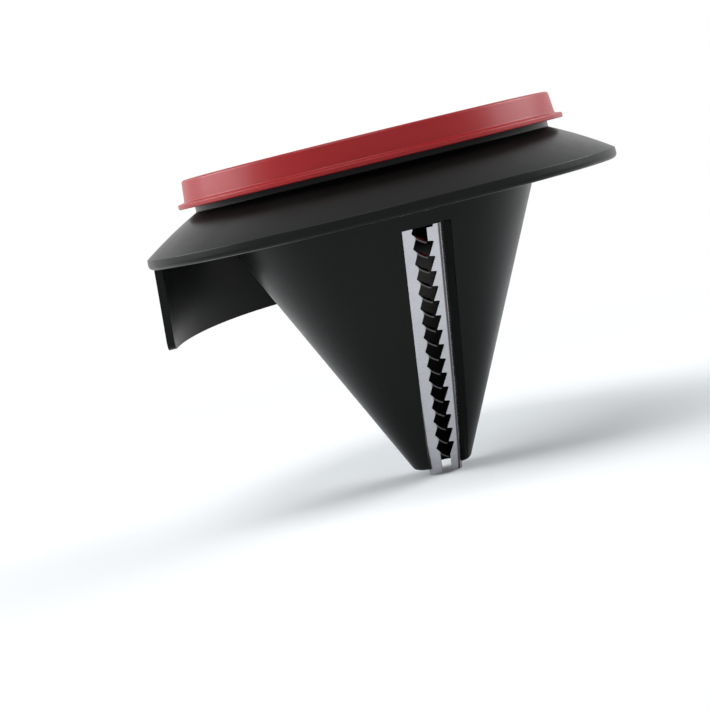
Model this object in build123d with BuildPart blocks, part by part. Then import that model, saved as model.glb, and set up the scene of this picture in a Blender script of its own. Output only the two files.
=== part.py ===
"""Hand-held funnel spiral cutter: a conical plastic funnel with a flared brim and a grip wall,
a toothed slicing blade with a row of scoring fins, and a turning disc that rides on the collar.

Millimetres, +Z up. The origin is on the funnel's axis, at the collar's top rim, where the disc
seats. The funnel points down. The blade is at the front, a little to the right of -Y.
Depths are measured down from the collar's top rim.
"""

from build123d import *
from math import cos, radians, sin, sqrt, tan
import os

# ---------------------------------------------------------------- cone and collar
collar_radius = 49.0  # outside of the upright collar
collar_wall = 2.0
collar_height = 7.2  # collar's top rim down to where the brim leaves it
cone_half_angle = 25.76  # degrees, between the axis and the cone's outside
cone_wall = 2.4  # square to the cone's surface
cone_mouth_drop = 5.1  # depth at which the cone's outside reaches the collar's radius
tip_radius = 7.93  # outside of the open lower end
tip_rounding = 0.7
rim_rounding = 0.4

# ---------------------------------------------------------------- brim
rim_radius = 65.2  # widest point of the brim
rim_drop = 16.6  # depth of the edge line along the brim's outside
brim_wall = 2.2
brim_crown = 0.35  # how far the brim's top bulges over a straight slope
edge_inset = 0.2  # the edge line is this far inside the widest point
lip_depth = 2.8  # edge line down to the lip's flat underside
lip_rounding = 2.0
lip_width = 3.8  # widest point in to the lip's inner face

# ---------------------------------------------------------------- grip wall
grip_start = 70.0  # degrees from +X towards +Y
grip_span = 110.0
grip_wall_thickness = 2.2
grip_inset = 0.9  # the grip's outside is this far inside the widest point, at its top
grip_flare = 1.8  # how much wider the grip's outside is at its bottom
grip_height = 23.1  # lip's underside down to the grip's lowest corners
grip_arch = 2.5  # rise of the bottom edge at mid span
grip_corner = 3.0
grip_edge_rounding = 0.8

# ---------------------------------------------------------------- blade unit
# It follows the cone. Arcs are measured round the cone's outside from the blade line, heights
# square to its surface, and distances along the blade line from the cone's apex.
blade_azimuth = -76.0  # degrees from +X: the straight line down the cone that the unit follows
unit_top = 24.0  # depth of the unit's upper end
blade_overrun = 1.8  # the blades' lower ends reach this far past the funnel's tip
level_shares = (0, 0.38, 0.68, 0.87, 1)  # where the unit's sections lie on the way down
tooth_pitch = 4.4
gullet_inset = 5.5  # the highest gullet is this far below the unit's upper end

slice_sheet = 0.6
slice_edge_arc = 1.05
slice_edge_depth = 1.8
slice_tooth = 1.55
tip_lift = 0.25  # tips are this far above the next gullet
gullet_rounding = 0.3
top_step = 0.6  # the toothed part starts this far below the blade's top
bend_width = 0.45
bend_step = 0.4
flange_width = 0.45  # root flange in view beside the clamp
root_grip = 0.5  # flange under the clamp
root_depth = 0.8
root_arc = 4.9  # arc of the clamp's left side at the top
root_taper = 0.6  # how much smaller that arc is at the bottom

comb_sheet = 0.5
comb_left = -6.05  # arc of the window's left side, where the comb comes out of the wall
comb_seat = 1.35  # how far the comb runs into the wall
comb_edge_arc = -2.42
comb_depth = 1.3
comb_tooth = 1.0
comb_long_flank = 2.9
comb_lead = 2.1  # comb tips are this far above the gullets
fin_thickness = 0.4
fin_inset = 0.15  # the fins start this far under the comb's outside
fin_depth = 3.6  # fins' inner edges
fin_root = 0.6  # how far each fin runs back into its comb tooth
fin_gap = 0.5  # from a fin's free end to the slicing edge
fin_fall = 2.15  # from the comb tip down to the fin's free end
fin_bow = 0.25  # how far the fin sags below a straight line
fin_rake = 1.4  # how far the fin's leading edge slopes back

clamp_width = 2.35
clamp_height = 0.25
clamp_bevel = 0.4
clamp_corner = 0.9
clamp_end = 0.3  # the clamp ends this far above the funnel's tip
window_reach = 6.0  # the cutting tool for the window reaches this far out of the cone
window_depth = 5.0

# ---------------------------------------------------------------- turning disc
disc_clearance = 0.4  # round the collar
disc_top_radius = 50.9
disc_foot_radius = 51.5
disc_height = 7.6  # lip's underside up to the land
land_thickness = 2.0  # the land rests on the collar's rim
lip_reach = 1.9
disc_lip = 1.3
disc_lip_slope = 0.4
disc_rounding = 0.6
recess_radius = 41.0
recess_depth = 4.6
recess_draft = 1.2
recess_floor = 1.8
tube_bore_radius = 20.0
tube_wall = 2.0
tube_proud = 3.6  # the tube's top above the recess floor
tube_drop = 19.0  # depth of the tube's lower end
rib_count = 12
rib_height = 1.4  # the tube is this much wider where the ribs stand in it
rib_width = 1.8
rib_crest = 0.5
rib_length = 9.0

# ---------------------------------------------------------------- worked out
half_angle = radians(cone_half_angle)
apex_drop = cone_mouth_drop + collar_radius / tan(half_angle)
tip_drop = apex_drop - tip_radius / tan(half_angle)  # depth of the open lower end
cone_wall_level = cone_wall / cos(half_angle)  # the wall, measured level
collar_inner_radius = collar_radius - collar_wall
lip_drop = rim_drop + lip_depth
brim_slope = (rim_drop - collar_height) / (rim_radius - collar_radius)
brim_upright = brim_wall * sqrt(1 + brim_slope**2)  # the brim's thickness, measured upright


def cone_radius(drop):
    """Outside radius of the cone at a depth."""
    return (apex_drop - drop) * tan(half_angle)


def underside_drop(radius):
    """Depth of the brim's underside at a radius."""
    return collar_height + brim_upright + brim_slope * (radius - collar_radius)


# the cone ends at the depth where the brim's underside meets its outside
joint_drop = (underside_drop(0) + brim_slope * apex_drop * tan(half_angle)) / (
    1 + brim_slope * tan(half_angle)
)
mouth_drop = apex_drop - (collar_inner_radius + cone_wall_level) / tan(half_angle)

# the blade unit's frame: across the blade line, along it from the apex, and out of the cone
azimuth = radians(blade_azimuth)
across = Vector(-sin(azimuth), cos(azimuth), 0)
outward = Vector(cos(half_angle) * cos(azimuth), cos(half_angle) * sin(azimuth), -sin(half_angle))
blade_bottom = tip_drop + blade_overrun
blade_levels = [unit_top + share * (blade_bottom - unit_top) for share in level_shares]
clamp_length = (blade_bottom - unit_top) / cos(half_angle)
tooth_count = int((clamp_length - gullet_inset) / tooth_pitch)
first_gullet = (apex_drop - unit_top) / cos(half_angle) - gullet_inset  # distance from the apex


def unit_point(level, arc, height):
    """Point of the blade unit's section at a depth, from its arc and its height."""
    radius = cone_radius(level)
    reach = radius + height / cos(half_angle)
    turn = azimuth + arc / radius
    return Vector(reach * cos(turn), reach * sin(turn), -level)


def root_side(level):
    """Arc of the clamp's left side at a depth."""
    return root_arc - root_taper * (level - unit_top) / (blade_bottom - unit_top)


def edge_plane(arc, height):
    """Plane along a blade's edge: x across, y up the edge from its lower end, z out of the cone."""
    lower = unit_point(blade_bottom, arc, height)
    up = (unit_point(unit_top, arc, height) - lower).normalized()
    return Plane(origin=lower, x_dir=up.cross(outward), z_dir=outward)


def edge_distance(distance, height):
    """Position on an edge plane of a distance from the apex."""
    lower_end = (apex_drop - blade_bottom + height * sin(half_angle)) / cos(half_angle)
    return distance - lower_end


os.makedirs("parts", exist_ok=True)

# ---------------------------------------------------------------- slicing blade
# A bent strip: its root lies under the clamp, and its toothed edge stands inside the window.
slice_plane = edge_plane(slice_edge_arc, -slice_edge_depth)
first_notch = edge_distance(first_gullet, -slice_edge_depth)

with BuildPart() as slicing_blade:
    for level in blade_levels:
        root = root_side(level)
        bend = root - flange_width - bend_width
        under_flange = -root_depth - slice_sheet
        with BuildSketch(Plane.XY.offset(-level)):
            with BuildLine():
                Polyline(
                    unit_point(level, root + root_grip, -root_depth),
                    unit_point(level, root - flange_width, -root_depth),
                    unit_point(level, bend, -root_depth - bend_step),
                    unit_point(level, slice_edge_arc, -slice_edge_depth),
                    unit_point(level, slice_edge_arc + slice_sheet, -slice_edge_depth - slice_sheet),
                    unit_point(level, bend, under_flange - bend_step),
                    unit_point(level, root - flange_width, under_flange),
                    unit_point(level, root + root_grip, under_flange),
                    close=True,
                )
            make_face()
    loft(ruled=True)
    with BuildSketch(slice_plane) as notches:
        with Locations(*[(0, first_notch - n * tooth_pitch) for n in range(tooth_count)]):
            Polygon(
                (-slice_sheet, tip_lift),
                (0, tip_lift),
                (slice_tooth, 0),
                (0, tip_lift - tooth_pitch),
                (-slice_sheet, tip_lift - tooth_pitch),
                align=None,
            )
        right_of_tips = slice_tooth / 2
        gullets = [v for v in notches.vertices() if slice_plane.to_local_coords(v).X > right_of_tips]
        fillet(gullets, gullet_rounding)
    extrude(amount=window_depth, both=True, mode=Mode.SUBTRACT)
    with BuildSketch(Plane.XY.offset(-unit_top)):
        with Locations(Plane(unit_point(unit_top, slice_edge_arc, 0), x_dir=across, z_dir=(0, 0, 1))):
            Rectangle(2 * slice_tooth, 4 * window_depth)
    extrude(amount=-top_step, mode=Mode.SUBTRACT)

# ---------------------------------------------------------------- scoring comb
# A flat strip with a saw-toothed edge, and at each tooth a curved fin that stands into the funnel.
comb_plane = edge_plane(comb_edge_arc, -comb_depth)
first_comb_tip = edge_distance(first_gullet, -comb_depth) + comb_lead
comb_tips = [first_comb_tip - n * tooth_pitch for n in range(tooth_count + 1)]
slice_upper = comb_plane.to_local_coords(unit_point(unit_top, slice_edge_arc, -slice_edge_depth))
slice_lower = comb_plane.to_local_coords(unit_point(blade_bottom, slice_edge_arc, -slice_edge_depth))


def fin_run(tip):
    """From a comb tip across to its fin's free end: the blades come closer towards the narrow end."""
    widening = (slice_upper.X - slice_lower.X) / (slice_upper.Y - slice_lower.Y)
    return slice_lower.X + widening * tip - fin_gap


with BuildPart() as fins:
    with BuildSketch(comb_plane.offset(-fin_inset)):
        with BuildLine():
            for tip in comb_tips:
                SagittaArc((-fin_root, tip + fin_root), (fin_run(tip), tip - fin_fall), -fin_bow)
        trace(line_width=fin_thickness)
    extrude(amount=comb_depth + fin_inset - fin_depth)
    with BuildSketch(Plane(origin=comb_plane.origin, x_dir=comb_plane.x_dir, z_dir=comb_plane.y_dir)):
        Polygon(
            (-comb_tooth, comb_sheet),
            (-fin_root, comb_sheet),
            (fin_rake - fin_root, fin_depth - comb_depth),
            (-comb_tooth, fin_depth - comb_depth),
            align=None,
        )
    extrude(amount=blade_bottom, mode=Mode.SUBTRACT)

with BuildPart() as scoring_comb:
    for level in blade_levels:
        with BuildSketch(Plane.XY.offset(-level)):
            with BuildLine():
                Polyline(
                    unit_point(level, comb_left - comb_seat, -comb_depth),
                    unit_point(level, comb_left, -comb_depth),
                    unit_point(level, comb_edge_arc, -comb_depth),
                    unit_point(level, comb_edge_arc, -comb_depth - comb_sheet),
                    unit_point(level, comb_left, -comb_depth - comb_sheet),
                    unit_point(level, comb_left - comb_seat, -comb_depth - comb_sheet),
                    close=True,
                )
            make_face()
    loft(ruled=True)
    with BuildSketch(comb_plane):
        with Locations(*[(0, tip) for tip in comb_tips]):
            Polygon(
                (comb_tooth, tooth_pitch),
                (0, tooth_pitch),
                (-comb_tooth, tooth_pitch - comb_long_flank),
                (0, 0),
                (comb_tooth, 0),
                align=None,
            )
    extrude(amount=window_depth, both=True, mode=Mode.SUBTRACT)
    add(fins.part)
    split(bisect_by=Plane.XY.offset(-unit_top), keep=Keep.BOTTOM)

# ---------------------------------------------------------------- blade clamp
# A bar on the slicing blade's root, with bevelled edges and a rounded upper corner.
with BuildPart() as blade_clamp:
    for level in blade_levels:
        root = root_side(level)
        with BuildSketch(Plane.XY.offset(-level)):
            with BuildLine():
                Polyline(
                    unit_point(level, root, -root_depth),
                    unit_point(level, root, clamp_height - clamp_bevel),
                    unit_point(level, root + clamp_bevel, clamp_height),
                    unit_point(level, root + clamp_width - clamp_bevel, clamp_height),
                    unit_point(level, root + clamp_width, clamp_height - clamp_bevel),
                    unit_point(level, root + clamp_width, -root_depth),
                    unit_point(level, root + root_grip, -root_depth),
                    close=True,
                )
            make_face()
    loft(ruled=True)
    split(bisect_by=Plane.XY.offset(clamp_end - tip_drop), keep=Keep.TOP)
    with BuildSketch(edge_plane(root_arc + clamp_width, 0)) as corner:
        with Locations((0, clamp_length)):
            Rectangle(clamp_corner, clamp_corner, align=Align.MAX)
        with Locations((-clamp_corner, clamp_length - clamp_corner)):
            Circle(clamp_corner, mode=Mode.SUBTRACT)
    extrude(amount=clamp_width, both=True, mode=Mode.SUBTRACT)

# ---------------------------------------------------------------- funnel cone
with BuildPart() as funnel_cone:
    with BuildSketch(Plane.XZ):
        outline = Polygon(
            (0, -joint_drop),
            (cone_radius(joint_drop), -joint_drop),
            (cone_radius(tip_drop), -tip_drop),
            (0, -tip_drop),
            align=None,
        )
        tip_corner = outline.vertices().group_by(Axis.Y)[0].sort_by(Axis.X)[-1]
        fillet(tip_corner, tip_rounding)
    revolve(axis=Axis.Z)
    with BuildSketch(Plane.XZ):
        Polygon(
            (0, -joint_drop),
            (cone_radius(joint_drop) - cone_wall_level, -joint_drop),
            (cone_radius(tip_drop) - cone_wall_level, -tip_drop),
            (0, -tip_drop),
            align=None,
        )
    revolve(axis=Axis.Z, mode=Mode.SUBTRACT)
    # window for both blades with the seats of the comb, the blade's root and the clamp
    for level in blade_levels:
        root = root_side(level)
        with BuildSketch(Plane.XY.offset(-level)):
            with BuildLine():
                Polyline(
                    unit_point(level, comb_left, window_reach),
                    unit_point(level, root + clamp_width, window_reach),
                    unit_point(level, root + clamp_width, -root_depth),
                    unit_point(level, root + root_grip, -root_depth),
                    unit_point(level, root + root_grip, -root_depth - slice_sheet),
                    unit_point(level, root - flange_width, -root_depth - slice_sheet),
                    unit_point(level, root - flange_width, -window_depth),
                    unit_point(level, comb_left, -window_depth),
                    unit_point(level, comb_left, -comb_depth - comb_sheet),
                    unit_point(level, comb_left - comb_seat, -comb_depth - comb_sheet),
                    unit_point(level, comb_left - comb_seat, -comb_depth),
                    unit_point(level, comb_left, -comb_depth),
                    close=True,
                )
            make_face()
    loft(ruled=True, mode=Mode.SUBTRACT)

# ---------------------------------------------------------------- funnel brim
with BuildPart() as funnel_brim:
    with BuildSketch(Plane.XZ) as brim_section:
        with BuildLine():
            Polyline(
                (collar_inner_radius, -mouth_drop),
                (collar_inner_radius, 0),
                (collar_radius, 0),
                (collar_radius, -collar_height),
            )
            SagittaArc(
                (collar_radius, -collar_height), (rim_radius - edge_inset, -rim_drop), brim_crown
            )
            Polyline(
                (rim_radius - edge_inset, -rim_drop),
                (rim_radius, -lip_drop + lip_rounding),
            )
            JernArc((rim_radius, -lip_drop + lip_rounding), (0, -1), lip_rounding, -90)
            Polyline(
                (rim_radius - lip_rounding, -lip_drop),
                (rim_radius - lip_width, -lip_drop),
                (rim_radius - lip_width, -underside_drop(rim_radius - lip_width)),
                (cone_radius(joint_drop), -joint_drop),
                (cone_radius(joint_drop) - cone_wall_level, -joint_drop),
                (collar_inner_radius, -mouth_drop),
            )
        make_face()
        fillet(brim_section.vertices().group_by(Axis.Y)[-1], rim_rounding)
    revolve(axis=Axis.Z)

# ---------------------------------------------------------------- grip wall
start = radians(grip_start)
middle = radians(grip_start + grip_span / 2)
start_plane = Plane(origin=(0, 0, 0), x_dir=(cos(start), sin(start), 0), z_dir=(sin(start), -cos(start), 0))
grip_radius = rim_radius - grip_inset
half_chord = (grip_radius + grip_flare) * sin(radians(grip_span / 2))
arch_radius = (half_chord**2 + grip_arch**2) / (2 * grip_arch)
arch_plane = Plane(
    origin=(0, 0, -lip_drop - grip_height + grip_arch - arch_radius),
    x_dir=(-sin(middle), cos(middle), 0),
    z_dir=(cos(middle), sin(middle), 0),
)

with BuildPart() as grip_wall:
    with BuildSketch(start_plane):
        Polygon(
            (grip_radius - grip_wall_thickness, -lip_drop),
            (grip_radius, -lip_drop),
            (grip_radius + 2 * grip_flare, -lip_drop - 2 * grip_height),
            (grip_radius + 2 * grip_flare - grip_wall_thickness, -lip_drop - 2 * grip_height),
            align=None,
        )
    revolve(axis=Axis.Z, revolution_arc=grip_span)
    with BuildSketch(arch_plane):
        Circle(arch_radius)
    extrude(amount=2 * rim_radius, mode=Mode.SUBTRACT)
    short_edges = grip_wall.edges().filter_by(lambda edge: edge.length < 2 * grip_wall_thickness)
    fillet(short_edges.sort_by(Axis.Z)[:2], grip_corner)
    hanging = grip_wall.edges().filter_by(lambda edge: edge.center().Z < -lip_drop - grip_edge_rounding)
    fillet(hanging.filter_by(lambda edge: edge.length > 2 * grip_wall_thickness), grip_edge_rounding)

# ---------------------------------------------------------------- turning disc
disc_foot = land_thickness - disc_height
recess_level = land_thickness - recess_depth
tube_outer_radius = tube_bore_radius + tube_wall

with BuildPart() as turning_disc:
    with BuildSketch(Plane.XZ):
        Polygon(
            (recess_radius, land_thickness),
            (disc_top_radius, land_thickness),
            (disc_foot_radius, disc_foot + disc_lip + disc_lip_slope),
            (disc_foot_radius + lip_reach, disc_foot + disc_lip),
            (disc_foot_radius + lip_reach, disc_foot),
            (collar_radius + disc_clearance, disc_foot),
            (collar_radius + disc_clearance, 0),
            (recess_radius + recess_floor, 0),
            (recess_radius + recess_floor - recess_draft, recess_level - recess_floor),
            (tube_outer_radius, recess_level - recess_floor),
            (tube_outer_radius, rib_length - tube_drop),
            (tube_outer_radius + rib_height, rib_length - rib_height - tube_drop),
            (tube_outer_radius + rib_height, -tube_drop),
            (tube_bore_radius + rib_height, -tube_drop),
            (tube_bore_radius + rib_height, rib_length - rib_height - tube_drop),
            (tube_bore_radius, rib_length - tube_drop),
            (tube_bore_radius, recess_level + tube_proud),
            (tube_outer_radius, recess_level + tube_proud),
            (tube_outer_radius, recess_level),
            (recess_radius - recess_draft, recess_level),
            align=None,
        )
    revolve(axis=Axis.Z)
    top_edges = turning_disc.edges().filter_by(GeomType.CIRCLE).group_by(Axis.Z)
    fillet(top_edges[-1], disc_rounding)
    # ribs that grip: their crests are flush with the bore above them
    with BuildSketch(Plane.XY.offset(-tube_drop)):
        with PolarLocations(tube_bore_radius + rib_height, rib_count):
            Polygon(
                (tube_wall / 2, -rib_width / 2),
                (tube_wall / 2, rib_width / 2),
                (-rib_height, rib_crest / 2),
                (-rib_height, -rib_crest / 2),
                align=None,
            )
    extrude(amount=rib_length)

pieces = {
    "funnel_cone": funnel_cone,
    "funnel_brim": funnel_brim,
    "grip_wall": grip_wall,
    "slicing_blade": slicing_blade,
    "scoring_comb": scoring_comb,
    "blade_clamp": blade_clamp,
    "turning_disc": turning_disc,
}
for name, piece in pieces.items():
    piece.part.label = name
    export_step(piece.part, f"parts/{name}.step")
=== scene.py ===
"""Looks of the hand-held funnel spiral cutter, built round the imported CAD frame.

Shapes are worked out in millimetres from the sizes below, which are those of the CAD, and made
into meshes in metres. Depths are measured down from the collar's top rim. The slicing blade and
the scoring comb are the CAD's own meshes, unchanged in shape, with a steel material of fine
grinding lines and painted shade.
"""

import bmesh
import bpy
from math import asin, cos, pi, radians, sin, sqrt, tan
from mathutils import Matrix, Vector


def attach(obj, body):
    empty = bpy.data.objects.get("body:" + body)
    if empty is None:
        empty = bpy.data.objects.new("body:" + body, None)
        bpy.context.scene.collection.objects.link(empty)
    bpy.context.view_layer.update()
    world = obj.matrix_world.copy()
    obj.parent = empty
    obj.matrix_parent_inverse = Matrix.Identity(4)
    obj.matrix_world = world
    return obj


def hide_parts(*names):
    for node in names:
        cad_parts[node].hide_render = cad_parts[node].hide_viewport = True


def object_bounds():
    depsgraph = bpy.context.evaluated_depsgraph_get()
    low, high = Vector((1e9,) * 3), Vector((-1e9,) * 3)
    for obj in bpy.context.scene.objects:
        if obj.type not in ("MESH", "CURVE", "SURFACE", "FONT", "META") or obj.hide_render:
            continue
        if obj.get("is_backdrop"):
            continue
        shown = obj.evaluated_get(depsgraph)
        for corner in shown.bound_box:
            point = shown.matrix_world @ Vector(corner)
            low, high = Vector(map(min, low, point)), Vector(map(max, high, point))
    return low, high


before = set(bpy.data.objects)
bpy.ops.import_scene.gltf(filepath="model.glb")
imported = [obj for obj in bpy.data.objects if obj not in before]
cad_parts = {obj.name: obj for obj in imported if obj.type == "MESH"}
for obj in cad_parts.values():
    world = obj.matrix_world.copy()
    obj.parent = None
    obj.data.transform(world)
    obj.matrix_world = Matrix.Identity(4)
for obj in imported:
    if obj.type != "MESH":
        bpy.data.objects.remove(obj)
cad_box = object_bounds()

# ---------------------------------------------------------------- sizes, mm
MM = 0.001

COLLAR_RADIUS = 49.0
COLLAR_WALL = 2.0
COLLAR_HEIGHT = 7.2
CONE_HALF_ANGLE = radians(25.76)
CONE_WALL = 2.4
CONE_MOUTH_DROP = 5.1
TIP_DROP = 90.2
TIP_ROUNDING = 0.7

RIM_RADIUS = 65.2
RIM_DROP = 16.6
BRIM_WALL = 2.2
BRIM_CROWN = 0.35
EDGE_INSET = 0.2
LIP_DEPTH = 2.8
LIP_ROUNDING = 2.0
LIP_WIDTH = 3.8

GRIP_START = radians(70.0)
GRIP_SPAN = radians(110.0)
GRIP_WALL = 2.2
GRIP_INSET = 0.9
GRIP_FLARE = 1.8
GRIP_HEIGHT = 23.1
GRIP_ARCH = 2.5
GRIP_CORNER = 3.0
GRIP_ROOT = 0.8

BLADE_AZIMUTH = radians(-76.0)
UNIT_TOP = 24.0
BLADE_BOTTOM = 92.0
SLICE_SHEET = 0.6
SLICE_EDGE_ARC = 1.05
BEND_WIDTH = 0.45
FLANGE_WIDTH = 0.45
ROOT_GRIP = 0.5
ROOT_DEPTH = 0.8
ROOT_ARC = 4.9
ROOT_TAPER = 0.6
COMB_SHEET = 0.5
COMB_LEFT = -6.05
COMB_SEAT = 1.35
COMB_EDGE_ARC = -2.42
COMB_DEPTH = 1.3
CLAMP_WIDTH = 2.35
CLAMP_HEIGHT = 0.25
CLAMP_BEVEL = 0.4
CLAMP_CORNER = 0.9
CLAMP_END = 0.3

DISC_CLEARANCE = 0.4
DISC_TOP_RADIUS = 50.9
DISC_FOOT_RADIUS = 51.5
DISC_HEIGHT = 7.6
LAND_THICKNESS = 2.0
LIP_REACH = 1.9
DISC_LIP = 1.3
DISC_LIP_SLOPE = 0.4
RECESS_RADIUS = 41.0
RECESS_DEPTH = 4.6
RECESS_DRAFT = 1.2
RECESS_FLOOR = 1.8
TUBE_BORE = 20.0
TUBE_WALL = 2.0
TUBE_PROUD = 3.6
TUBE_DROP = 19.0
RIB_COUNT = 12
RIB_HEIGHT = 1.4
RIB_WIDTH = 1.8
RIB_CREST = 0.5
RIB_LENGTH = 9.0
RIB_START = 0.4

# edge roundings and fillets
RECESS_FILLET = 1.2
TUBE_FILLET = 1.0
SOFT_EDGE = 0.8
TOP_EDGE = 0.7
SHOULDER_EDGE = 0.5
COLLAR_EDGE = 0.4
LIP_EDGE = 0.35
BORE_EDGE = 0.3
FOOT_EDGE = 0.25
FINE_EDGE = 0.2
GRIP_EDGE = 0.75
WINDOW_EDGE = 0.18
CLAMP_EDGE = 0.06

# most of a side that one rounding may take, and slack for comparing places and angles
SIDE_SHARE = 0.48
SLACK = 0.01
TURN_SLACK = 0.001

# steps round curves and along pieces
BRIM_TURN_STEPS = 288
BRIM_CROWN_STEPS = 14
RIB_GAP_STEPS = 15
GRIP_TURN_STEPS = 90
GRIP_CORNER_STEPS = 8
GRIP_RISE_STEPS = 12
ROUND_STEPS = 168
WINDOW_STEPS = 14
CONE_STEPS = 40
MOUTH_STEPS = 6
TIP_STEPS = 5
CLAMP_STEPS = 30
CLAMP_CORNER_STEPS = 6

# ---------------------------------------------------------------- worked out, as in the CAD
APEX_DROP = CONE_MOUTH_DROP + COLLAR_RADIUS / tan(CONE_HALF_ANGLE)
WALL_LEVEL = CONE_WALL / cos(CONE_HALF_ANGLE)
COLLAR_INNER = COLLAR_RADIUS - COLLAR_WALL
LIP_DROP = RIM_DROP + LIP_DEPTH
BRIM_SLOPE = (RIM_DROP - COLLAR_HEIGHT) / (RIM_RADIUS - COLLAR_RADIUS)
BRIM_UPRIGHT = BRIM_WALL * sqrt(1 + BRIM_SLOPE**2)
UNDER_ZERO = COLLAR_HEIGHT + BRIM_UPRIGHT - BRIM_SLOPE * COLLAR_RADIUS
JOINT_DROP = (UNDER_ZERO + BRIM_SLOPE * APEX_DROP * tan(CONE_HALF_ANGLE)) / (
    1 + BRIM_SLOPE * tan(CONE_HALF_ANGLE)
)
MOUTH_DROP = APEX_DROP - (COLLAR_INNER + WALL_LEVEL) / tan(CONE_HALF_ANGLE)


def cone_radius(level):
    return (APEX_DROP - level) * tan(CONE_HALF_ANGLE)


def unit_point(level, arc, height):
    """Point at a depth, an arc from the blade line and a height over the cone's outside."""
    radius = cone_radius(level)
    reach = radius + height / cos(CONE_HALF_ANGLE)
    turn = BLADE_AZIMUTH + arc / radius
    return Vector((reach * cos(turn), reach * sin(turn), -level))


def root_side(level):
    """Arc of the clamp's left side, which leans in towards the narrow end."""
    return ROOT_ARC - ROOT_TAPER * (level - UNIT_TOP) / (BLADE_BOTTOM - UNIT_TOP)


# ---------------------------------------------------------------- mesh helpers
def make_object(name, points, faces):
    """Mesh object in metres from points in millimetres, with its normals outwards."""
    mesh = bpy.data.meshes.new(name)
    mesh.from_pydata([tuple(MM * c for c in p) for p in points], [], faces)
    work = bmesh.new()
    work.from_mesh(mesh)
    bmesh.ops.recalc_face_normals(work, faces=work.faces)
    work.to_mesh(mesh)
    work.free()
    obj = bpy.data.objects.new(name, mesh)
    bpy.context.scene.collection.objects.link(obj)
    for face in mesh.polygons:
        face.use_smooth = True
    return obj


def weigh_normals(obj, weight=50):
    """Keeps flat faces flat in shading."""
    normals = obj.modifiers.new("normals", "WEIGHTED_NORMAL")
    normals.keep_sharp = True
    normals.weight = weight


def finish_edges(obj, width, limit=35.0, skip=None):
    """Rounds edges sharper than the limit in degrees by a width in millimetres."""
    work = bmesh.new()
    work.from_mesh(obj.data)
    layer = work.edges.layers.float.new("bevel_weight_edge")
    for edge in work.edges:
        if len(edge.link_faces) != 2:
            continue
        sharp = edge.calc_face_angle() > radians(limit)
        if sharp and not (skip and skip(edge)):
            edge[layer] = 1.0
        elif sharp:
            edge.smooth = False
    work.to_mesh(obj.data)
    work.free()
    if width:
        bevel = obj.modifiers.new("rounding", "BEVEL")
        bevel.width = MM * width
        bevel.segments = 3
        bevel.limit_method = "WEIGHT"
    weigh_normals(obj, weight=80)


def rounded(corners, steps=5):
    """Closed outline with corners (x, y, radius) rounded, each by less than half a side."""
    outline = []
    count = len(corners)
    for n, (x, y, radius) in enumerate(corners):
        here = Vector((x, y))
        back = Vector(corners[n - 1][:2]) - here
        ahead = Vector(corners[(n + 1) % count][:2]) - here
        if radius == 0:
            outline.append(here)
            continue
        half = back.angle(ahead) / 2
        reach = min(radius / tan(half), SIDE_SHARE * back.length, SIDE_SHARE * ahead.length)
        radius = reach * tan(half)
        start = here + back.normalized() * reach
        end = here + ahead.normalized() * reach
        centre = here + (back.normalized() + ahead.normalized()).normalized() * (radius / sin(half))
        from_centre = start - centre
        turn = from_centre.angle_signed(end - centre)
        for step in range(steps + 1):
            part = Matrix.Rotation(-turn * step / steps, 2)
            outline.append(centre + part @ from_centre)
    return outline


def lathe(name, outline, angles, radius_at=None):
    """Closed outline of (radius, z) turned about the axis."""
    points, faces = [], []
    size = len(outline)
    for angle in angles:
        for x, z in outline:
            if radius_at:
                x = radius_at(x, z, angle)
            points.append((x * cos(angle), x * sin(angle), z))
    for i in range(len(angles)):
        j = (i + 1) % len(angles)
        for k in range(size):
            m = (k + 1) % size
            faces.append((i * size + k, j * size + k, j * size + m, i * size + m))
    return make_object(name, points, faces)


def loft(name, loops):
    """Closed solid through loops of equally many points, with flat ends."""
    size = len(loops[0])
    points = [p for loop in loops for p in loop]
    faces = []
    for i in range(len(loops) - 1):
        for k in range(size):
            m = (k + 1) % size
            faces.append((i * size + k, i * size + m, (i + 1) * size + m, (i + 1) * size + k))
    faces.append(tuple(range(size)))
    faces.append(tuple(range((len(loops) - 1) * size, len(loops) * size)))
    return make_object(name, points, faces)


def spaced(start, end, count):
    return [start + (end - start) * n / count for n in range(count + 1)]


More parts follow.
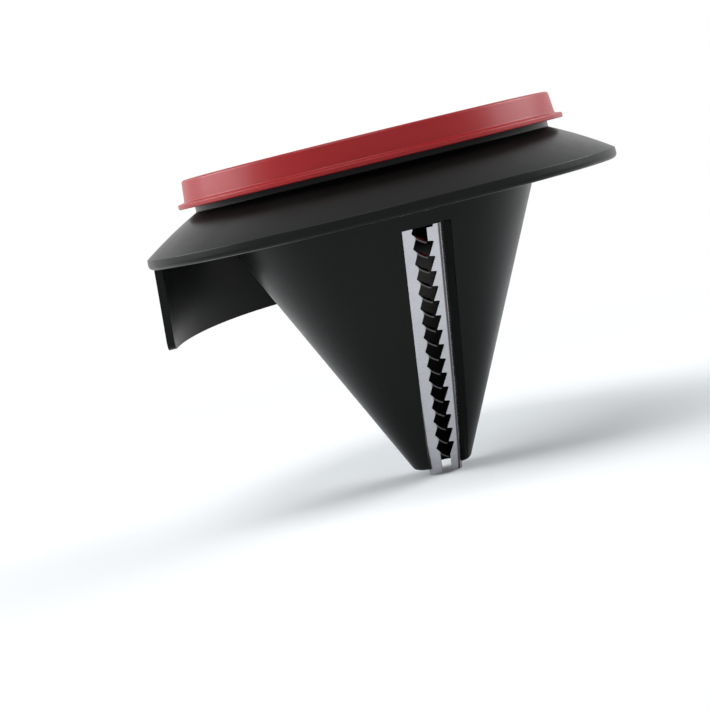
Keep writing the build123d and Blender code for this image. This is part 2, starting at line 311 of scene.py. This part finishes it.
# ---------------------------------------------------------------- materials
class Nodes:
    """Short way to write the nodes of a material or of the world."""

    def __init__(self, owner):
        owner.use_nodes = True
        self.owner = owner
        self.tree = owner.node_tree
        self.shader = self.tree.nodes.get("Principled BSDF")
        self.coordinates = self.add("ShaderNodeTexCoord").outputs
        self.place = self.coordinates["Object"]

    def add(self, kind, values=None, **settings):
        """New node with its settings and the values of its inputs."""
        node = self.tree.nodes.new(kind)
        for name, value in settings.items():
            setattr(node, name, value)
        for name, value in (values or {}).items():
            node.inputs[name].default_value = value
        return node

    def link(self, output, socket):
        self.tree.links.new(output, socket)

    def mapped(self, scale):
        node = self.add("ShaderNodeMapping", {"Scale": scale})
        self.link(self.place, node.inputs["Vector"])
        return node.outputs["Vector"]

    def noise(self, scale, detail, roughness=0.5, vector=None, distortion=0.0):
        values = {"Scale": scale, "Detail": detail, "Roughness": roughness}
        node = self.add("ShaderNodeTexNoise", {**values, "Distortion": distortion})
        self.link(vector or self.place, node.inputs["Vector"])
        return node.outputs["Fac"]

    def spread(self, value, low, high, from_low=0.3, from_high=0.7):
        """A value's range mapped onto low to high, and kept within it."""
        values = {"From Min": from_low, "From Max": from_high, "To Min": low, "To Max": high}
        node = self.add("ShaderNodeMapRange", values)
        self.link(value, node.inputs["Value"])
        return node.outputs["Result"]

    def calc(self, first, second, operation="ADD"):
        node = self.add("ShaderNodeMath", operation=operation)
        self.link(first, node.inputs[0])
        if isinstance(second, float):
            node.inputs[1].default_value = second
        else:
            self.link(second, node.inputs[1])
        return node.outputs[0]

    def mix(self, factor, first, second):
        """Colour between two, each a tuple or another node's output."""
        node = self.add("ShaderNodeMix", data_type="RGBA")
        self.link(factor, node.inputs["Factor"])
        sockets = [s for s in node.inputs if s.name in ("A", "B") and s.type == "RGBA"]
        for socket, colour in zip(sockets, (first, second)):
            if isinstance(colour, tuple):
                socket.default_value = (*colour, 1)
            else:
                self.link(colour, socket)
        return [s for s in node.outputs if s.type == "RGBA"][0]

    def blend(self, factor, first, second):
        """Shader between two."""
        node = self.add("ShaderNodeMixShader")
        for socket, source in zip(node.inputs, (factor, first, second)):
            self.link(source, socket)
        return node.outputs[0]

    def bump(self, height, strength, distance):
        node = self.add("ShaderNodeBump", {"Strength": strength, "Distance": distance})
        self.link(height, node.inputs["Height"])
        self.link(node.outputs["Normal"], self.shader.inputs["Normal"])

    def sees_backdrop(self):
        """One for the rays that show the white background: direct, off gloss and through glass."""
        path = self.add("ShaderNodeLightPath").outputs
        seen = self.calc(path["Is Camera Ray"], path["Is Glossy Ray"], "MAXIMUM")
        return self.calc(seen, path["Is Transmission Ray"], "MAXIMUM")


def plastic(name, colours, rough, level):
    """Moulded plastic: slight colour drift, a fine moulded grain, and uneven polish."""
    n = Nodes(bpy.data.materials.new(name))
    drift = n.noise(scale=35.0, detail=4.0, roughness=0.55)
    n.link(n.mix(n.spread(drift, 0.0, 1.0), *colours), n.shader.inputs["Base Color"])
    smears = n.noise(scale=60.0, detail=5.0, roughness=0.65, distortion=0.6)
    grain = n.noise(scale=1400.0, detail=2.0)
    polish = n.calc(n.spread(smears, *rough), n.spread(grain, -0.015, 0.015))
    n.link(polish, n.shader.inputs["Roughness"])
    n.shader.inputs["Specular IOR Level"].default_value = level
    wave = n.calc(n.noise(scale=55.0, detail=1.0), 3.0, "MULTIPLY")
    n.bump(n.calc(n.spread(grain, 0.0, 1.0), wave), strength=0.10, distance=0.00003)
    return n.owner


def unit_arc(n):
    """Arc round the cone from the blade line, and how far past the clamp's left side it is, mm."""
    place = n.add("ShaderNodeSeparateXYZ")
    n.link(n.place, place.inputs[0])
    turn = n.calc(n.calc(place.outputs["Y"], place.outputs["X"], "ARCTAN2"), -BLADE_AZIMUTH)
    height = n.calc(n.calc(place.outputs["Z"], 1 / MM, "MULTIPLY"), APEX_DROP)
    arc = n.calc(turn, n.calc(height, tan(CONE_HALF_ANGLE), "MULTIPLY"), "MULTIPLY")
    slope = ROOT_TAPER / (BLADE_BOTTOM - UNIT_TOP)
    root = n.calc(n.calc(height, slope, "MULTIPLY"), ROOT_ARC - slope * (APEX_DROP - UNIT_TOP))
    return arc, n.calc(arc, root, "SUBTRACT")


# where the steel's painted shade fades in and out, mm past the edge that each band follows: on the
# fins between the comb's edge and the slicing edge, along the bend, and on the flange
EDGE_SHADE_IN = (-0.35, 0.25)
EDGE_SHADE_OUT = (-0.5, -0.3)
BEND_SHADE_IN = (-0.12, 0.1)
BEND_SHADE_OUT = (-0.08, 0.08)
FLANGE_SHADE_IN = (-0.05, 0.1)
FLANGE_SHADE_SHARE = 0.22
CLOUD_SHARE = 0.92


def steel(name, tint, shade_tint, rough):
    """Steel with fine lines across the strip, and painted shade on the fins between the comb's and
    the slicing blade's edges, along the bend and on the flange.
    """
    n = Nodes(bpy.data.materials.new(name))
    cloud = n.noise(scale=120.0, detail=4.0, roughness=0.6)
    sheet = n.mix(n.spread(cloud, 0.0, 1.0), tuple(CLOUD_SHARE * c for c in tint), tint)
    arc, beside = unit_arc(n)

    def fade(value, edge, band, low, high):
        return n.spread(value, low, high, edge + band[0], edge + band[1])

    bend = -FLANGE_WIDTH - BEND_WIDTH
    # painted shade on the fins, between the comb's edge and the slicing edge
    edge_shade = n.calc(
        fade(arc, COMB_EDGE_ARC, EDGE_SHADE_IN, 0.0, 1.0),
        fade(arc, SLICE_EDGE_ARC, EDGE_SHADE_OUT, 1.0, 0.0),
        "MULTIPLY",
    )
    # painted shade along the bend, standing for the dark reflection in it
    bend_shade = n.calc(
        fade(beside, bend, BEND_SHADE_IN, 0.0, 1.0),
        fade(beside, -FLANGE_WIDTH, BEND_SHADE_OUT, 1.0, 0.0),
        "MULTIPLY",
    )
    # painted shade on the flange, a share of the dark tint
    flange_shade = fade(beside, -FLANGE_WIDTH, FLANGE_SHADE_IN, 0.0, FLANGE_SHADE_SHARE)
    painted_shade = n.calc(n.calc(edge_shade, bend_shade, "MAXIMUM"), flange_shade, "MAXIMUM")
    # the painted shade mixes the steel towards the dark tint
    n.link(n.mix(painted_shade, sheet, shade_tint), n.shader.inputs["Base Color"])
    lines = n.noise(scale=900.0, detail=3.0, roughness=0.6, vector=n.mapped((1.0, 1.0, 10.0)))
    n.link(n.spread(lines, *rough), n.shader.inputs["Roughness"])
    n.shader.inputs["Metallic"].default_value = 1.0
    n.bump(lines, strength=0.10, distance=0.00001)
    return n.owner


black = plastic(
    "black_plastic",
    colours=((0.0020, 0.0025, 0.0023), (0.0036, 0.0044, 0.0041)),
    rough=(0.28, 0.36),
    level=0.13,
)
# a darker, less shiny copy of the black plastic for the clamp bar: painted shade, for the shade and
# dark reflection on the bar beside the blade
shaded_black = plastic(
    "black_plastic_painted_shade",
    colours=((0.0012, 0.0014, 0.0013), (0.0022, 0.0026, 0.0024)),
    rough=(0.30, 0.38),
    level=0.06,
)
red = plastic(
    "red_plastic",
    colours=((0.275, 0.009, 0.011), (0.315, 0.013, 0.016)),
    rough=(0.30, 0.40),
    level=0.24,
)
# the steel's second colour, a dark pinkish grey, is the tint of its painted shade
bright = steel(
    "steel", tint=(0.50, 0.50, 0.525), shade_tint=(0.085, 0.078, 0.082), rough=(0.20, 0.30)
)

# ---------------------------------------------------------------- turning disc
lip_radius = DISC_FOOT_RADIUS + LIP_REACH
disc_foot = LAND_THICKNESS - DISC_HEIGHT
disc_inner = COLLAR_RADIUS + DISC_CLEARANCE
recess_level = LAND_THICKNESS - RECESS_DEPTH
recess_outer = RECESS_RADIUS + RECESS_FLOOR
tube_outer = TUBE_BORE + TUBE_WALL
rib_top = RIB_LENGTH - TUBE_DROP
foot_bore = TUBE_BORE + RIB_HEIGHT
foot_outer = tube_outer + RIB_HEIGHT

# section as (radius, height, rounding)
disc_outline = rounded(
    [
        (RECESS_RADIUS, LAND_THICKNESS, TOP_EDGE),
        (DISC_TOP_RADIUS, LAND_THICKNESS, SOFT_EDGE),
        (DISC_FOOT_RADIUS, disc_foot + DISC_LIP + DISC_LIP_SLOPE, SHOULDER_EDGE),
        (lip_radius, disc_foot + DISC_LIP, LIP_EDGE),
        (lip_radius, disc_foot, LIP_EDGE),
        (disc_inner, disc_foot, FOOT_EDGE),
        (disc_inner, 0, 0),
        (recess_outer, 0, BORE_EDGE),
        (recess_outer - RECESS_DRAFT, recess_level - RECESS_FLOOR, SOFT_EDGE),
        (tube_outer, recess_level - RECESS_FLOOR, SOFT_EDGE),
        (tube_outer, rib_top, SOFT_EDGE),
        (foot_outer, rib_top - RIB_HEIGHT, SOFT_EDGE),
        (foot_outer, -TUBE_DROP, SHOULDER_EDGE),
        (foot_bore, -TUBE_DROP, FINE_EDGE),
        (foot_bore, rib_top - RIB_HEIGHT, 0),
        (TUBE_BORE, rib_top, BORE_EDGE),
        (TUBE_BORE, recess_level + TUBE_PROUD, TOP_EDGE),
        (tube_outer, recess_level + TUBE_PROUD, TOP_EDGE),
        (tube_outer, recess_level, TUBE_FILLET),
        (RECESS_RADIUS - RECESS_DRAFT, recess_level, RECESS_FILLET),
    ]
)
rib_share = RIB_HEIGHT / (RIB_HEIGHT + TUBE_WALL / 2)
rib_foot = RIB_CREST / 2 + (RIB_WIDTH - RIB_CREST) / 2 * rib_share
foot_turn = asin(rib_foot / foot_bore)
crest_turn = asin(RIB_CREST / 2 / TUBE_BORE)
pitch_turn = 2 * pi / RIB_COUNT
rib_angles = []
for n in range(RIB_COUNT):
    middle = n * pitch_turn
    rib_angles += [middle - foot_turn, middle - crest_turn, middle + crest_turn]
    rib_angles += spaced(middle + foot_turn, middle + pitch_turn - foot_turn, RIB_GAP_STEPS)[:-1]


def bore_with_ribs(x, z, angle):
    """Radius in the tube's wider foot, where the ribs' crests are flush with the bore above."""
    if not TUBE_BORE < x < foot_bore + SLACK or z > rib_top - RIB_START:
        return x
    off = abs((angle + pitch_turn / 2) % pitch_turn - pitch_turn / 2)
    return TUBE_BORE if off < crest_turn + TURN_SLACK else x


disc = lathe("disc_moulding", disc_outline, rib_angles, bore_with_ribs)
finish_edges(disc, 0)

# ---------------------------------------------------------------- brim
brim_start = Vector((COLLAR_RADIUS, -COLLAR_HEIGHT))
brim_end = Vector((RIM_RADIUS - EDGE_INSET, -RIM_DROP))
slope_side = Vector((RIM_DROP - COLLAR_HEIGHT, brim_end.x - brim_start.x)).normalized()
crown = []
for n in range(1, BRIM_CROWN_STEPS):
    part = n / BRIM_CROWN_STEPS
    bulge = BRIM_CROWN * (1 - (2 * part - 1) ** 2)
    spot = brim_start.lerp(brim_end, part) + slope_side * bulge
    crown.append((spot.x, spot.y, 0))
lip_inner = RIM_RADIUS - LIP_WIDTH
under_lip = UNDER_ZERO + BRIM_SLOPE * lip_inner
brim_outline = rounded(
    [
        (COLLAR_INNER, -MOUTH_DROP, 0),
        (COLLAR_INNER, 0, COLLAR_EDGE),
        (COLLAR_RADIUS, 0, COLLAR_EDGE),
        (COLLAR_RADIUS, -COLLAR_HEIGHT, SHOULDER_EDGE),
    ]
    + crown
    + [
        (RIM_RADIUS - EDGE_INSET, -RIM_DROP, FOOT_EDGE),
        (RIM_RADIUS, -LIP_DROP, LIP_ROUNDING),
        (lip_inner, -LIP_DROP, COLLAR_EDGE),
        (lip_inner, -under_lip, SOFT_EDGE),
        (cone_radius(JOINT_DROP), -JOINT_DROP, 0),
        (cone_radius(JOINT_DROP) - WALL_LEVEL, -JOINT_DROP, 0),
    ],
    steps=6,
)
brim = lathe("brim_moulding", brim_outline, spaced(0, 2 * pi, BRIM_TURN_STEPS)[:-1])
finish_edges(brim, 0, limit=25)

# ---------------------------------------------------------------- grip wall
# a curved plate with rounded corners and edges; its top runs up into the lip
grip_radius = RIM_RADIUS - GRIP_INSET
half_chord = grip_radius * sin(GRIP_SPAN / 2)
arch_radius = (half_chord**2 + GRIP_ARCH**2) / (2 * GRIP_ARCH)
grip_end = GRIP_START + GRIP_SPAN
grip_top = LIP_DROP - GRIP_ROOT
grip_low = LIP_DROP + GRIP_HEIGHT


def grip_edge(angle):
    """Depth of the bottom edge, with the arch and the rounded corners."""
    chord = grip_radius * sin(angle - GRIP_START - GRIP_SPAN / 2)
    low = grip_low - GRIP_ARCH + arch_radius - sqrt(arch_radius**2 - chord**2)
    from_end = grip_radius * min(angle - GRIP_START, grip_end - angle)
    if from_end < GRIP_CORNER:
        low -= GRIP_CORNER - sqrt(max(0.0, GRIP_CORNER**2 - (GRIP_CORNER - from_end) ** 2))
    return low


corner_turn = GRIP_CORNER / grip_radius
corner_turns = [corner_turn * (1 - cos(t)) for t in spaced(0, pi / 2, GRIP_CORNER_STEPS)]
grip_angles = [GRIP_START + t for t in corner_turns]
grip_angles += spaced(GRIP_START + corner_turn, grip_end - corner_turn, GRIP_TURN_STEPS)[1:-1]
grip_angles += [grip_end - t for t in reversed(corner_turns)]
grip_loops = []
for angle in grip_angles:
    falling = spaced(grip_top, grip_edge(angle), GRIP_RISE_STEPS)
    rising = spaced(grip_edge(angle), grip_top, GRIP_RISE_STEPS)
    loop = []
    for side, drops in ((0, falling), (GRIP_WALL, rising)):
        for drop in drops:
            out = grip_radius + GRIP_FLARE * (drop - LIP_DROP) / GRIP_HEIGHT - side
            loop.append((out * cos(angle), out * sin(angle), -drop))
    grip_loops.append(loop)
grip = loft("grip_moulding", grip_loops)
finish_edges(grip, GRIP_EDGE, limit=50)

# ---------------------------------------------------------------- cone with the blades' window
SEAT_POINTS = 4
SIDE_COLUMNS = 12


def left_profile(level, inset):
    """Window's left side, from the outside in, with the comb's seat."""
    return [
        unit_point(level, COMB_LEFT, -inset),
        unit_point(level, COMB_LEFT, -COMB_DEPTH),
        unit_point(level, COMB_LEFT - COMB_SEAT, -COMB_DEPTH),
        unit_point(level, COMB_LEFT - COMB_SEAT, -COMB_DEPTH - COMB_SHEET),
        unit_point(level, COMB_LEFT, -COMB_DEPTH - COMB_SHEET),
        unit_point(level, COMB_LEFT, -CONE_WALL),
    ]


def right_profile(level, inset):
    """Window's right side, from the inside out, with the seats of the blade's root and clamp."""
    root = root_side(level)
    return [
        unit_point(level, root - FLANGE_WIDTH, -CONE_WALL),
        unit_point(level, root - FLANGE_WIDTH, -ROOT_DEPTH - SLICE_SHEET),
        unit_point(level, root + ROOT_GRIP, -ROOT_DEPTH - SLICE_SHEET),
        unit_point(level, root + ROOT_GRIP, -ROOT_DEPTH),
        unit_point(level, root + CLAMP_WIDTH, -ROOT_DEPTH),
        unit_point(level, root + CLAMP_WIDTH, -inset),
    ]


def round_points(level, height, first, last):
    """Points round the cone between two arcs, the second one measured past a full turn."""
    full = 2 * pi * cone_radius(level)
    return [unit_point(level, arc, height) for arc in spaced(first, last + full, ROUND_STEPS)]


def cone_loop(level, inset=0.0):
    """Section of the slotted cone: outside, left side, inside backwards, right side."""
    root = root_side(level)
    outside = round_points(level, -inset, root + CLAMP_WIDTH, COMB_LEFT)
    inside = round_points(level, -CONE_WALL, root - FLANGE_WIDTH, COMB_LEFT)
    left = left_profile(level, inset)
    right = right_profile(level, inset)
    return outside + left[1:-1] + inside[::-1] + right[1:-1]


# places in a loop; a point on the outside has its step's own number
first_inside = ROUND_STEPS + 1 + SEAT_POINTS
left_seat = [ROUND_STEPS + 1 + n for n in range(SEAT_POINTS)]
right_seat = [first_inside + ROUND_STEPS + 1 + n for n in range(SEAT_POINTS)]


def inside_at(k):
    return first_inside + ROUND_STEPS - k


cone_loops = [cone_loop(t) for t in spaced(UNIT_TOP, TIP_DROP - TIP_ROUNDING, CONE_STEPS)]
for n in range(1, TIP_STEPS + 1):
    turn = pi / 2 * n / TIP_STEPS
    level = TIP_DROP - TIP_ROUNDING + TIP_ROUNDING * sin(turn)
    cone_loops.append(cone_loop(level, TIP_ROUNDING * (1 - cos(turn))))
size = len(cone_loops[0])
cone_points = [p for loop in cone_loops for p in loop]
cone_faces = []
for i in range(len(cone_loops) - 1):
    for k in range(size):
        m = (k + 1) % size
        cone_faces.append((i * size + k, (i + 1) * size + k, (i + 1) * size + m, i * size + m))

# bottom: quads round the wall, and a face at each side of the window
last = (len(cone_loops) - 1) * size
for k in range(SIDE_COLUMNS, ROUND_STEPS - SIDE_COLUMNS):
    cone_faces.append(tuple(last + p for p in (k, k + 1, inside_at(k + 1), inside_at(k))))
left_columns = range(ROUND_STEPS - SIDE_COLUMNS, ROUND_STEPS + 1)
left_face = [*left_columns, *left_seat] + [inside_at(k) for k in reversed(left_columns)]
cone_faces.append(tuple(last + k for k in left_face))
right_columns = range(SIDE_COLUMNS + 1)
right_face = [inside_at(k) for k in reversed(right_columns)] + [*right_seat, *right_columns]
cone_faces.append(tuple(last + k for k in right_face))

# closed rings above the window; the lowest one shares the slotted part's points
root = root_side(UNIT_TOP)
full = 2 * pi * cone_radius(UNIT_TOP)


def ring_arcs(first):
    """Arcs of a whole ring at the window's top: round the wall, then across the window."""
    wall = spaced(first, COMB_LEFT + full, ROUND_STEPS)
    return wall + spaced(COMB_LEFT + full, first + full, WINDOW_STEPS)[1:-1]


ring_sides = (
    (ring_arcs(root + CLAMP_WIDTH), 0.0, [*range(ROUND_STEPS + 1)]),
    (ring_arcs(root - FLANGE_WIDTH), -CONE_WALL, [inside_at(k) for k in range(ROUND_STEPS + 1)]),
)
ring_size = ROUND_STEPS + WINDOW_STEPS
ring_levels = spaced(JOINT_DROP, UNIT_TOP, MOUTH_STEPS)
rings = []
for level in ring_levels:
    swell = cone_radius(level) / cone_radius(UNIT_TOP)
    for arcs, height, shared in ring_sides:
        ring = []
        for k, arc in enumerate(arcs):
            if level == ring_levels[-1] and k <= ROUND_STEPS:
                ring.append(shared[k])
            else:
                ring.append(len(cone_points))
                cone_points.append(unit_point(level, arc * swell, height))
        rings.append(ring)
for n in range(MOUTH_STEPS):
    for side in (0, 1):
        upper, lower = rings[2 * n + side], rings[2 * n + 2 + side]
        for k in range(ring_size):
            m = (k + 1) % ring_size
            cone_faces.append((upper[k], lower[k], lower[m], upper[m]))
for k in range(ring_size):
    m = (k + 1) % ring_size
    cone_faces.append((rings[0][k], rings[0][m], rings[1][m], rings[1][k]))
window_head = [ROUND_STEPS, *left_seat, inside_at(ROUND_STEPS), *rings[-1][ROUND_STEPS + 1 :]]
window_head += [inside_at(0), *right_seat, 0, *rings[-2][:ROUND_STEPS:-1]]
cone_faces.append(tuple(window_head))
cone = make_object("cone_moulding", cone_points, cone_faces)


def on_joint(edge):
    """Whether an edge lies on the face where the cone meets the brim."""
    return all(v.co.z > -MM * (JOINT_DROP + SLACK) for v in edge.verts)


finish_edges(cone, WINDOW_EDGE, limit=45, skip=on_joint)

# ---------------------------------------------------------------- blades
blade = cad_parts["slicing_blade"]
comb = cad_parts["scoring_comb"]
for node in (blade, comb):
    weigh_normals(node)

# ---------------------------------------------------------------- blade clamp
# each level has how far the bar's top right corner is rounded back there
clamp_levels = []
for turn in spaced(0, pi / 2, CLAMP_CORNER_STEPS):
    clamp_levels.append((UNIT_TOP + CLAMP_CORNER * (1 - cos(turn)), CLAMP_CORNER * (1 - sin(turn))))
for level in spaced(UNIT_TOP + CLAMP_CORNER, TIP_DROP - CLAMP_END, CLAMP_STEPS)[1:]:
    clamp_levels.append((level, 0.0))
clamp_loops = []
for level, back in clamp_levels:
    root = root_side(level)
    right = root + CLAMP_WIDTH - back
    clamp_loops.append(
        [
            unit_point(level, root, -ROOT_DEPTH),
            unit_point(level, root, CLAMP_HEIGHT - CLAMP_BEVEL),
            unit_point(level, root + CLAMP_BEVEL, CLAMP_HEIGHT),
            unit_point(level, right - CLAMP_BEVEL, CLAMP_HEIGHT),
            unit_point(level, right, CLAMP_HEIGHT - CLAMP_BEVEL),
            unit_point(level, right, -ROOT_DEPTH),
            unit_point(level, root + ROOT_GRIP, -ROOT_DEPTH),
        ]
    )
clamp = loft("blade_clamp_bar", clamp_loops)
finish_edges(clamp, CLAMP_EDGE, limit=25)

# ---------------------------------------------------------------- bodies, slots and materials
for piece, material, slot, body, node in (
    (cone, black, "black_plastic", "funnel", "funnel_cone"),
    (brim, black, "black_plastic", "funnel", "funnel_brim"),
    (grip, black, "black_plastic", "funnel", "grip_wall"),
    # the clamp bar takes the darker copy of the black plastic, which is painted shade
    (clamp, shaded_black, "black_plastic", "funnel", "blade_clamp"),
    (disc, red, "red_plastic", "disc", "turning_disc"),
):
    piece.data.materials.append(material)
    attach(piece, body)
    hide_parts(node)
for node in (blade, comb):
    for place in node.material_slots:
        place.material = bright

# ---------------------------------------------------------------- camera
# as fitted to the photograph: place in metres, angles in radians, focal length in pixels
CAMERA_PLACE = (0, -0.51903, -0.00426)
YAW, PITCH, ROLL = 0.03164743, 0.09815219, 0.24047378
FOCAL_PIXELS = 1900.0
IMAGE_PIXELS = 710.0
SENSOR_WIDTH = 36.0

right = Vector((cos(YAW), sin(YAW), 0))
forward = Vector((-sin(YAW), cos(YAW), 0))
down = Vector((0, 0, -1))
looking = cos(PITCH) * forward + sin(PITCH) * down
under = cos(PITCH) * down - sin(PITCH) * forward
image_right = cos(ROLL) * right + sin(ROLL) * under
image_down = cos(ROLL) * under - sin(ROLL) * right
camera = bpy.data.objects.new("camera", bpy.data.cameras.new("camera"))
bpy.context.scene.collection.objects.link(camera)
turned = Matrix((image_right, -image_down, -looking)).transposed().to_4x4()
camera.matrix_world = Matrix.Translation(CAMERA_PLACE) @ turned
camera.data.sensor_width = SENSOR_WIDTH
camera.data.lens = SENSOR_WIDTH * FOCAL_PIXELS / IMAGE_PIXELS
camera.data.clip_start = 0.05
camera.data.clip_end = 20.0
bpy.context.scene.camera = camera

# ---------------------------------------------------------------- floor
# takes the shadow near the object, turns white farther out, and is see-through from below
FLOOR_REACH = 4.0
FLOOR_GAP = 0.0002
FADE_START, FADE_END = 0.10, 0.35
WHITE = {"Color": (1, 1, 1, 1), "Strength": 1.0}

corners = [(x * FLOOR_REACH, y * FLOOR_REACH, 0) for x, y in ((-1, -1), (1, -1), (1, 1), (-1, 1))]
floor_mesh = bpy.data.meshes.new("floor")
floor_mesh.from_pydata(corners, [], [(0, 1, 2, 3)])
floor = bpy.data.objects.new("floor", floor_mesh)
bpy.context.scene.collection.objects.link(floor)
floor.location.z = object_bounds()[0].z - FLOOR_GAP
floor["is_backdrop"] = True

f = Nodes(bpy.data.materials.new("floor"))
f.shader.inputs["Base Color"].default_value = (0.9, 0.9, 0.9, 1)
f.shader.inputs["Roughness"].default_value = 0.9
f.shader.inputs["Specular IOR Level"].default_value = 0.1
far = f.add("ShaderNodeVectorMath", operation="LENGTH")
f.link(f.place, far.inputs[0])
fade = f.spread(far.outputs["Value"], 0.0, 1.0, FADE_START, FADE_END)
white_share = f.calc(fade, f.sees_backdrop(), "MULTIPLY")
white = f.add("ShaderNodeEmission", WHITE).outputs[0]
from_above = f.blend(white_share, f.shader.outputs[0], white)
from_below = f.add("ShaderNodeBsdfTransparent").outputs[0]
backfacing = f.add("ShaderNodeNewGeometry").outputs["Backfacing"]
surface = f.blend(backfacing, from_above, from_below)
f.link(surface, f.tree.nodes["Material Output"].inputs["Surface"])
floor_mesh.materials.append(f.owner)

# ---------------------------------------------------------------- world and lamps
# white where it is seen; the light it gives is brightest at the horizon
world = bpy.data.worlds.new("studio")
bpy.context.scene.world = world
w = Nodes(world)
room = w.tree.nodes["Background"]
room.inputs["Strength"].default_value = 1.0
direction = w.add("ShaderNodeSeparateXYZ")
w.link(w.coordinates["Generated"], direction.inputs[0])
rise = w.add("ShaderNodeMath", operation="ABSOLUTE")
w.link(direction.outputs["Z"], rise.inputs[0])
ramp = w.add("ShaderNodeValToRGB")
ramp.color_ramp.interpolation = "EASE"
horizon, overhead = ramp.color_ramp.elements
horizon.position = 0.10
horizon.color = (0.90, 0.96, 1.0, 1)
overhead.position = 0.42
overhead.color = (0.07, 0.072, 0.075, 1)
w.link(rise.outputs[0], ramp.inputs[0])
w.link(ramp.outputs[0], room.inputs["Color"])
backdrop = w.add("ShaderNodeBackground", WHITE)
surface = w.blend(w.sees_backdrop(), room.outputs[0], backdrop.outputs[0])
w.link(surface, w.tree.nodes["World Output"].inputs["Surface"])


def softbox(name, spot, aim, width, height, power, colour=(1, 1, 1)):
    lamp = bpy.data.lights.new(name, "AREA")
    lamp.shape = "RECTANGLE"
    lamp.size = width
    lamp.size_y = height
    lamp.energy = power
    lamp.color = colour
    obj = bpy.data.objects.new(name, lamp)
    bpy.context.scene.collection.objects.link(obj)
    obj.location = spot
    obj.rotation_mode = "QUATERNION"
    obj.rotation_quaternion = (Vector(aim) - Vector(spot)).to_track_quat("-Z", "Y")


COOL = (0.93, 0.97, 1.0)
softbox("left_box", (-0.80, 0.12, 0.34), (0, 0, 0), 0.7, 0.5, power=8.0, colour=COOL)
softbox("right_box", (0.85, 0.18, 0.34), (0, 0, 0), 0.7, 0.5, power=8.0, colour=COOL)
softbox("top_box", (-0.15, -0.35, 0.75), (0, 0, -0.02), 0.6, 0.5, power=4.0)

scene = bpy.context.scene
scene.view_settings.view_transform = "Standard"

visual_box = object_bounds()
corners = [[round(c, 6) for c in corner] for corner in (*cad_box, *visual_box)]
